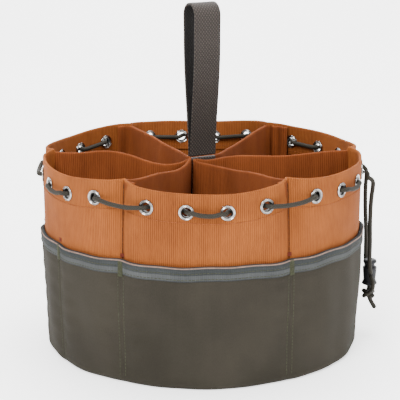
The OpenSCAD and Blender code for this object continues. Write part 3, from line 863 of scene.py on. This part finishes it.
# webbing along a line of (off, up) points: a flat section with rounded edges and two raised ribs near them
def webbingStrip(name, line, materials, phase=0.0):
    p, length = smoothLine([(0, off, up) for off, up in line], .0011)
    ahead = unit(np.gradient(p, axis=0))[:, 1:]
    face = np.stack([-ahead[:, 1], ahead[:, 0]], -1)
    w, t = strap["width"] / 2, strap["thick"] / 2
    edge = np.linspace(-np.pi / 2, np.pi / 2, 7)
    flat = np.linspace(-w + t, w - t, 26)
    fromEdge = w - np.abs(flat)
    rib = .00016 * (np.exp(-((fromEdge - .0024) / .0006)**2) + np.exp(-((fromEdge - .0048) / .0005)**2))
    side = np.concatenate([flat, w - t + t * np.cos(edge[1:-1]), flat[::-1], -w + t - t * np.cos(edge[1:-1])])
    out = np.concatenate([-t - rib, t * np.sin(edge[1:-1]), (t + rib)[::-1], -t * np.sin(edge[1:-1])])
    run = runLengths(p)
    sway = .0005 * np.sin(run * 40 + phase)[:, None]
    off = p[:, 1:2] + face[:, :1] * out[None]
    up = p[:, 2:3] + face[:, 1:] * out[None]
    ring = strapPoint(side[None] + sway, off, up)
    n, m = ring.shape[:2]
    uv = np.stack(np.broadcast_arrays(side[None] + 0 * run[:, None], run[:, None]), -1).reshape(-1, 2)
    faces = gridFaces(n, m, closeV=True)
    lids = [[int(i) for i in range(m)], [int((n - 1) * m + i) for i in range(m)][::-1]]
    piece = finish(mixedMesh(name, ring.reshape(-1, 3), faces.tolist() + lids, uv), name, materials[0])
    # faces along one flat side take the second finish; on the handle loop that finish is painted shade
    piece.data.materials.append(materials[1])
    inner = np.arange(len(faces)) % m
    index = np.concatenate([inner < len(flat) - 1, [False, False]]).astype(np.int32)
    piece.data.polygons.foreach_set("material_index", index)
    return piece, length


# the loop's line in (off, up): both sides open out from the fold with a smooth step, then a half circle joins them
def loopLine():
    z = np.linspace(0, strap["bend"], 16)
    u = np.minimum(1, z / .1)
    x = strap["foldR"] / 2 + (strap["loopR"] - strap["foldR"] / 2) * u**2 * (3 - 2 * u)
    left = [(-a, strap["fold"] + b) for a, b in zip(x, z)]
    a = np.linspace(np.pi, 0, 13)[1:-1]
    high = strap["fold"] + strap["bend"]
    crest = [(strap["loopR"] * np.cos(t), high + strap["loopR"] * np.sin(t)) for t in a]
    return left + crest + [(-off, up) for off, up in left[::-1]]


# the loop's inner face gets the darker webbing, which is painted shade
handle, handleLength = webbingStrip("handleStrap", loopLine(), (webFinish, shadedWebbing), .6)
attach(handle, "handle")
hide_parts("handle_strap")
for label, off in (("Front", -.00095), ("Rear", .00095)):
    line = [(off, strap["fold"] - .0016 - strap["anchor"] * (1 - t)) for t in (0, .25, .5, .75, 1)]
    ends, _ = webbingStrip("handleAnchor" + label, line, (webFinish, webFinish))
    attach(ends, "root")
    if label == "Front":
        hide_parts("handle_anchor")
print("handle made, %.3f m of webbing in the loop" % handleLength)

# cord lock: heights are above the barrel's underside
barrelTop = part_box("lock_barrel")[1].z - lock["z"]
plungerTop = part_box("lock_plunger")[1].z - lock["z"]
lockR = (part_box("lock_plunger")[1].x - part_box("lock_plunger")[0].x) / 2


# a closed section through chosen points: a Catmull-Rom curve round them
def smoothSection(points, steps=4):
    p = np.array(points)
    t = np.linspace(0, 1, steps, endpoint=False)[:, None]
    a, b, c, d = np.roll(p, 1, 0), p, np.roll(p, -1, 0), np.roll(p, -2, 0)
    a, b, c, d = (q[:, None] for q in (a, b, c, d))
    curve = catmullRom(a, b, c, d, t)
    return curve.reshape(-1, 2)


def lockPiece(name, section, body, node):
    p, f = turned(smoothSection(section[::-1]), 72)
    p += np.array([lock["x"], 0, lock["z"]])
    piece = finish(fillMesh(name, p, f), name, plastic)
    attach(piece, body)
    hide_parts(node)
    return piece


waist = .0047
barrelSection = [(waist, .0012), (.0040, .0008), (.0028, 0), (.0054, .0001), (.0066, .0006), (.0068, .0016),
                 (.0063, .0028), (.0057, .0042), (.0056, .0062), (.0058, .0085), (.0061, barrelTop - .0040),
                 (.0062, barrelTop - .0022), (.0063, barrelTop - .0007), (.0058, barrelTop),
                 (.0050, barrelTop - .0003), (waist, barrelTop - .0014)]
headLow = plungerTop - .0036
plungerSection = [(.0012, .0060), (.0043, .0061), (.0044, .0080), (.0044, headLow - .0006), (.0048, headLow),
                  (lockR - .0006, headLow + .0001), (lockR, headLow + .0007), (lockR, headLow + .0022),
                  (lockR - .0009, plungerTop - .0004), (lockR - .0024, plungerTop), (.0022, plungerTop - .0003),
                  (.0006, plungerTop - .0004)]
lockPiece("lockBarrel", barrelSection, "cord_lock", "lock_barrel")
lockPiece("lockPlunger", plungerSection, "lock_button", "lock_plunger")

# stopper knot: a cord wound twice round itself, over and under, on a short torus path
tied = dict(radius=.0036, swell=.0009, rise=.0024, turns=2, weave=1.5)


def knotPath():
    t = np.linspace(0, tau * tied["turns"], 60)
    r = tied["radius"] + tied["swell"] * np.cos(tied["weave"] * t)
    x = r * np.cos(t) * 1.02
    y = r * np.sin(t)
    z = tied["rise"] * np.sin(tied["weave"] * t)
    middle = (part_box("tail_knot")[0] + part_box("tail_knot")[1]) / 2
    return np.stack([x, y, z], -1) + np.array(middle)


knotLine, _ = smoothLine(knotPath()[:-1], .0007)
knot = cordMesh("tailKnot", knotLine, lacing["diameter"], cordFinish)
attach(knot, "tails")
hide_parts("tail_knot")
print("lock and knot made")

# even places along a line of points, with its direction
def alongLine(points, pitch):
    run = runLengths(points)
    at = np.arange(pitch / 2, run[-1], pitch)
    place = np.stack([np.interp(at, run, points[:, k]) for k in range(3)], -1)
    return place, unit(np.stack([np.interp(at, run, np.gradient(points[:, k])) for k in range(3)], -1))


# level directions away from the bag's axis
def ringOut(place):
    return unit(place * np.array([1, 1, 0]))


seams = dict(pitch=.0031, length=.0024, width=.00062)
around = np.linspace(0, tau, 1400)


# a row of stitches along a line; sign is -1 on the wall's inner face
def threadRow(name, line, shade, sign=1):
    place, direction = alongLine(line, seams["pitch"])
    piece = stitches(name, place, direction, sign * ringOut(place), seams["length"], seams["width"], shade)
    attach(piece, "root")


for label, inset, sign in (("Outside", -.0001, 1), ("Inside", bag["cloth"] + 2 * bag["foldR"] - .0001, -1)):
    z = rimHeight(around) - bag["facingDrop"] + .0035
    hem = polar(around, wallRadius(around, z) - inset, z)
    threadRow("hemThread" + label, hem, threadTan, sign)
for label, down in (("Upper", .0049), ("Lower", .0100)):
    parts = []
    for p, (a, b, _) in enumerate(pockets):
        theta = np.radians(np.linspace(a, b, 60, endpoint=False))
        z = skirt["top"] - down + .0005 * np.sin(theta * 9 + 2) + .0003 * np.sin(theta * 23)
        parts.append(pocketPoints(p, theta, z, skirt["cloth"] / 2 + .00095))
    threadRow("tapeThread" + label, np.concatenate(parts + [parts[0][:1]]), threadDark)

# a long dark stitch line runs down the crease of each wall seam; its thread is darker than the canvas, partly real
# stitching and partly painted shade for the crease
seamLine = dict(pitch=.0044, length=.0043, width=.00055, sunk=.0013)
place, direction = [], []
for k in range(6):
    z = np.linspace(skirt["top"] + .001, wallHeight - .004, 40)
    theta = sector * k + .00035 * np.sin(z * 260 + k)
    spots, way = alongLine(polar(theta, wallRadius(theta, z) - seamLine["sunk"], z), seamLine["pitch"])
    place.append(spots)
    direction.append(way)
place = np.concatenate(place)
wallSeams = stitches("wallSeamThread", place, np.concatenate(direction), ringOut(place),
                     seamLine["length"], seamLine["width"], seamStitchAndShade)
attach(wallSeams, "root")

# a sewn line runs down each side of every pocket seam, with bartacks across the tape and just above it
pocketSeam = dict(apart=.0026, foot=.006, below=.0135)
bartack = dict(rows=15, step=.00088, low=.0128, proud=.0012, length=.0050, width=.0010)
rustTack = dict(rows=4, step=.0008, rise=.0024, sunk=.0010, length=.0042, width=.0008)
edges = sorted({a for a, _, _ in pockets})
place, direction, tackPlace, tackDirection = [], [], [], []
for a in edges:
    theta = radians(a)
    p = next(i for i, q in enumerate(pockets) if q[0] == a)
    for side in (-1, 1):
        turn = theta + side * pocketSeam["apart"] / seamR
        pocket = p if side > 0 else (p - 1) % 8
        z = np.linspace(pocketSeam["foot"], skirt["top"] - pocketSeam["below"], 60)
        line = pocketPoints(pocket, turn + 0 * z, z, skirt["cloth"] / 2)
        spots, way = alongLine(line, seams["pitch"])
        place.append(spots)
        direction.append(way)
    rows = skirt["top"] - bartack["low"] + np.arange(bartack["rows"]) * bartack["step"]
    base = pocketPoints(p, theta + 0 * rows + .0004, rows, skirt["cloth"] / 2 + bartack["proud"])
    tackPlace.append(base)
    tackDirection.append(np.tile([-np.sin(theta), np.cos(theta), 0], (len(rows), 1)))
seamThread = stitches("pocketSeamThread", np.concatenate(place), np.concatenate(direction),
                      ringOut(np.concatenate(place)), seams["length"], seams["width"], threadDark)
tacks = stitches("tapeBartacks", np.concatenate(tackPlace), np.concatenate(tackDirection),
                 ringOut(np.concatenate(tackPlace)), bartack["length"], bartack["width"], threadDark)
place, direction = [], []
for a in edges:
    theta = radians(a)
    rows = skirt["top"] + rustTack["rise"] + np.arange(rustTack["rows"]) * rustTack["step"]
    r = wallRadius(theta + 0 * rows, rows) - (rustTack["sunk"] if a % 60 == 0 else 0)
    place.append(polar(theta + 0 * rows, r + .0001, rows))
    direction.append(np.tile([-np.sin(theta), np.cos(theta), 0], (len(rows), 1)))
place = np.concatenate(place)
rust = stitches("seamBartacks", place, np.concatenate(direction), ringOut(place), rustTack["length"],
                rustTack["width"], threadRed)
for piece, slot in ((seamThread, "pocket_cloth"), (tacks, "binding_tape"), (rust, "canvas")):
    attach(piece, "root")
print("stitching made")

# the coil spring keeps its CAD mesh and gets a finish
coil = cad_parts["lock_spring"]
coil.data.materials.clear()
coil.data.materials.append(nickel)

# a white sheet runs back from under the bag and curves up behind it
sheet = dict(front=4, bend=1.2, top=4, half=5)


def backdrop():
    bend = np.linspace(0, np.pi / 2, 14)[1:]
    r = sheet["bend"]
    curve = [(r + r * np.sin(t), r - r * np.cos(t)) for t in bend]
    line = [(-sheet["front"], 0), (r, 0)] + curve + [(2 * r, sheet["top"])]
    points = np.array([[(x, y, z) for y, z in line] for x in (-sheet["half"], sheet["half"])])
    s = Shader("whiteSheet", .9, Specular_IOR_Level=.1, Emission_Color=(1, 1, 1, 1), Emission_Strength=1.3)
    s.colour(s.ramp(s.noise(s.coords("Object"), 3, 2), (.3, (.90, .90, .90)), (.7, (.94, .94, .94))))
    floor = finish(fillMesh("backdrop", points.reshape(-1, 3), gridFaces(2, len(line))), "backdrop", s.material)
    floor.location.z = -.0002


# each lamp: name, place, size in metres, watts, the point it faces
lamps = (("key", (-1.0, -1.7, 1.7), 1.1, 88, (0, 0, .1)), ("fill", (1.7, -1.5, 1.0), 1.4, 40, (0, 0, .1)),
         ("top", (.2, .4, 2.3), 1.6, 42, (0, 0, .1)), ("back", (0, .7, 2.6), 2.2, 120, (0, 2.6, .6)))


def studio():
    for name, place, size, power, aim in lamps:
        lamp = bpy.data.objects.new(name, bpy.data.lights.new(name, "AREA"))
        lamp.data.energy = power
        lamp.data.size = size
        lamp.location = place
        lamp.rotation_euler = (Vector(aim) - Vector(place)).to_track_quat("-Z", "Y").to_euler()
        scene.collection.objects.link(lamp)
    world = bpy.data.worlds.new("studio")
    scene.world = world
    world.use_nodes = True
    world.node_tree.nodes["Background"].inputs["Color"].default_value = (1, 1, 1, 1)
    world.node_tree.nodes["Background"].inputs["Strength"].default_value = 1.0


backdrop()
studio()
print("studio lit")
